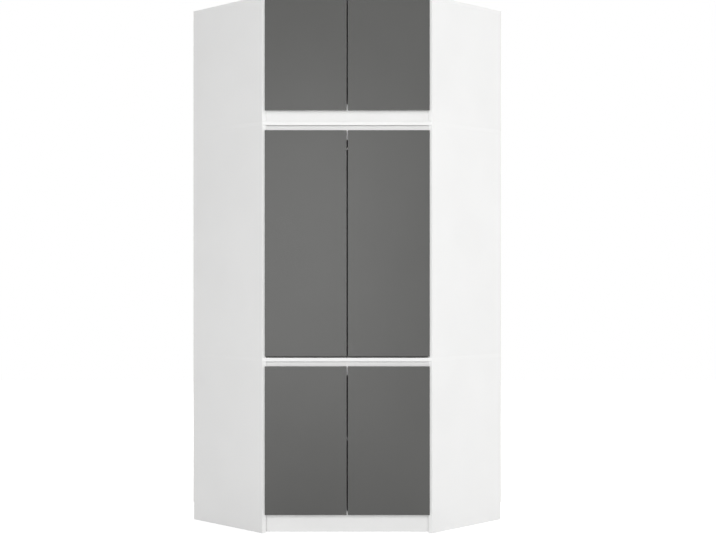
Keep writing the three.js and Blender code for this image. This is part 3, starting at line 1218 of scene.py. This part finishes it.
bench_bracket = rail_bracket()
for side in SIDES:
    node = f"rail_bracket_{side}"
    low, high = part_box(node)
    centre = ((low.x + high.x) / 2, rail_centre.y, rail_centre.z)
    bracket = copy_to(bench_bracket, f"{node}_made", Matrix.Translation(centre))
    settle(bracket, node)
bpy.data.objects.remove(bench_bracket)
print("brackets made")

# %% [markdown]
# ## Cover caps
# The boards are held by cam fittings that sit in round pockets in the side panels, 34 mm from
# the end of the panel. A thin white cap covers each pocket. The cap is a flat disc with a
# slightly domed face and a small notch, where a blade lifts it off.

# %% Cover caps
CAM_CAP_RADIUS = 8.5 * MM
CAM_CAP_PROUD = 1.0 * MM
CAM_CAP_RIM_ROUND = 0.35 * CAM_CAP_PROUD
CAM_CAP_DOME_INSET = 0.5 * CAM_CAP_RADIUS
CAM_CAP_DOME_RISE = 0.3 * CAM_CAP_PROUD
NOTCH_FLOOR = 0.3 * CAM_CAP_PROUD
CAM_FROM_END = 34 * MM
CAM_BEHIND = (60 * MM, 420 * MM)
CAMMED_ENDS = {"lower": ("top",), "middle": ("bottom", "top"), "top_unit": ("bottom", "top")}


def cam_cap():
    cap = round_bar("cam_cap", (0, 0, 0), (0, 0, CAM_CAP_PROUD), CAM_CAP_RADIUS, vertices=32)
    choose_faces(cap, facing(BENCH_Z))
    round_chosen(CAM_CAP_RIM_ROUND, segments=2)
    choose_faces(cap, facing(BENCH_Z, least=ALONG))
    bpy.ops.mesh.inset(thickness=CAM_CAP_DOME_INSET)
    bpy.ops.transform.translate(value=(0, 0, CAM_CAP_DOME_RISE))
    bpy.ops.object.mode_set(mode="OBJECT")
    notch_low = (CAM_CAP_RADIUS - CAM_CAP_PROUD, -CAM_CAP_PROUD, NOTCH_FLOOR)
    notch_high = (CAM_CAP_RADIUS + CAM_CAP_PROUD, CAM_CAP_PROUD, 2 * CAM_CAP_PROUD)
    combine(cap, block("notch", notch_low, notch_high), "DIFFERENCE")
    smooth_round_faces(cap)
    cap.data.materials.append(cap_plastic)
    return cap


def cap_heights(section, side):
    low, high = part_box(f"{section}_side_{side}")
    heights = {"bottom": low.z + CAM_FROM_END, "top": high.z - CAM_FROM_END}
    return [heights[end] for end in CAMMED_ENDS[section]]


bench_cap = cam_cap()
for section in SECTIONS:
    for side in SIDES:
        caps = []
        for height in cap_heights(section, side):
            for behind in CAM_BEHIND:
                place = at(side, height, on_panel(behind) @ TO_BENCH_X)
                caps.append(copy_to(bench_cap, "cap", place))
        covers = join(f"cam_caps_{section}_{side}", caps)
        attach(covers, "carcass")
bpy.data.objects.remove(bench_cap)
cammed = sum(len(ends) for ends in CAMMED_ENDS.values())
print("cover caps:", len(SIDES) * len(CAM_BEHIND) * cammed)

# %% [markdown]
# ## Nails in the backs
# The backs are nailed to every board that they meet: along both upright edges, and across at
# each horizontal board. The heads are flat and round. There are many, so each has few faces.
# They are spread evenly over each edge, about 140 mm apart.

# %% Nail places
NAIL_RADIUS = 2.6 * MM
NAIL_PROUD = 0.5 * MM
NAIL_ROUND = 0.5 * NAIL_PROUD
NAIL_SPACING = 140 * MM
NAIL_INSET = 8 * MM
CORNER_INSET = 2 * NAIL_INSET
NAILED_BOARDS = {
    "main": ("bottom_board", "lower_shelf", "mid_board", "main_top_board"),
    "top_unit": ("top_unit_bottom_board", "top_unit_top_board"),
}
ALONG_WALL = Vector((ROOT_HALF, -ROOT_HALF, 0))
WALL_NORMAL = Vector((ROOT_HALF, ROOT_HALF, 0))
wall_plane = reach("main_back_right", WALL_NORMAL)
wall_start = -reach("main_back_right", -ALONG_WALL)
wall_end = reach("main_back_right", ALONG_WALL)


def spread(low, high):
    """Evenly spaced places from low to high, about the nail spacing apart."""
    steps = round((high - low) / NAIL_SPACING)
    return [low + (high - low) * step / steps for step in range(steps + 1)]


def nail_places(section):
    low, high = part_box(f"{section}_back_right")
    edges = (wall_start + CORNER_INSET, wall_end - NAIL_INSET)
    places = {(edge, z) for edge in edges for z in spread(low.z + NAIL_INSET, high.z - NAIL_INSET)}
    for node in NAILED_BOARDS[section]:
        board_low, board_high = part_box(node)
        middle_z = (board_low.z + board_high.z) / 2
        places |= {(along, middle_z) for along in spread(*edges)[1:-1]}
    return sorted(places)


# %% Nails
def nail():
    head = round_bar("nail", (0, 0, -NAIL_PROUD), (0, 0, NAIL_PROUD), NAIL_RADIUS, vertices=12)
    choose_faces(head, facing(BENCH_Z))
    round_chosen(NAIL_ROUND, segments=1)
    head.data.materials.append(zinc)
    return head


bench_nail = nail()
nail_count = 0
for section in BACK_SECTIONS:
    for side in SIDES:
        heads = []
        for along, z in nail_places(section):
            foot = WALL_NORMAL * wall_plane + ALONG_WALL * along
            place = from_axes(-ALONG_WALL, UP, WALL_NORMAL, foot)
            heads.append(copy_to(bench_nail, "nail", at(side, z, place)))
        nail_count += len(heads)
        nails = join(f"back_nails_{section}_{side}", heads)
        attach(nails, "carcass")
for piece in (bench_nail, plate_screw, adjusting_screw):
    bpy.data.objects.remove(piece)
print("nails:", nail_count)
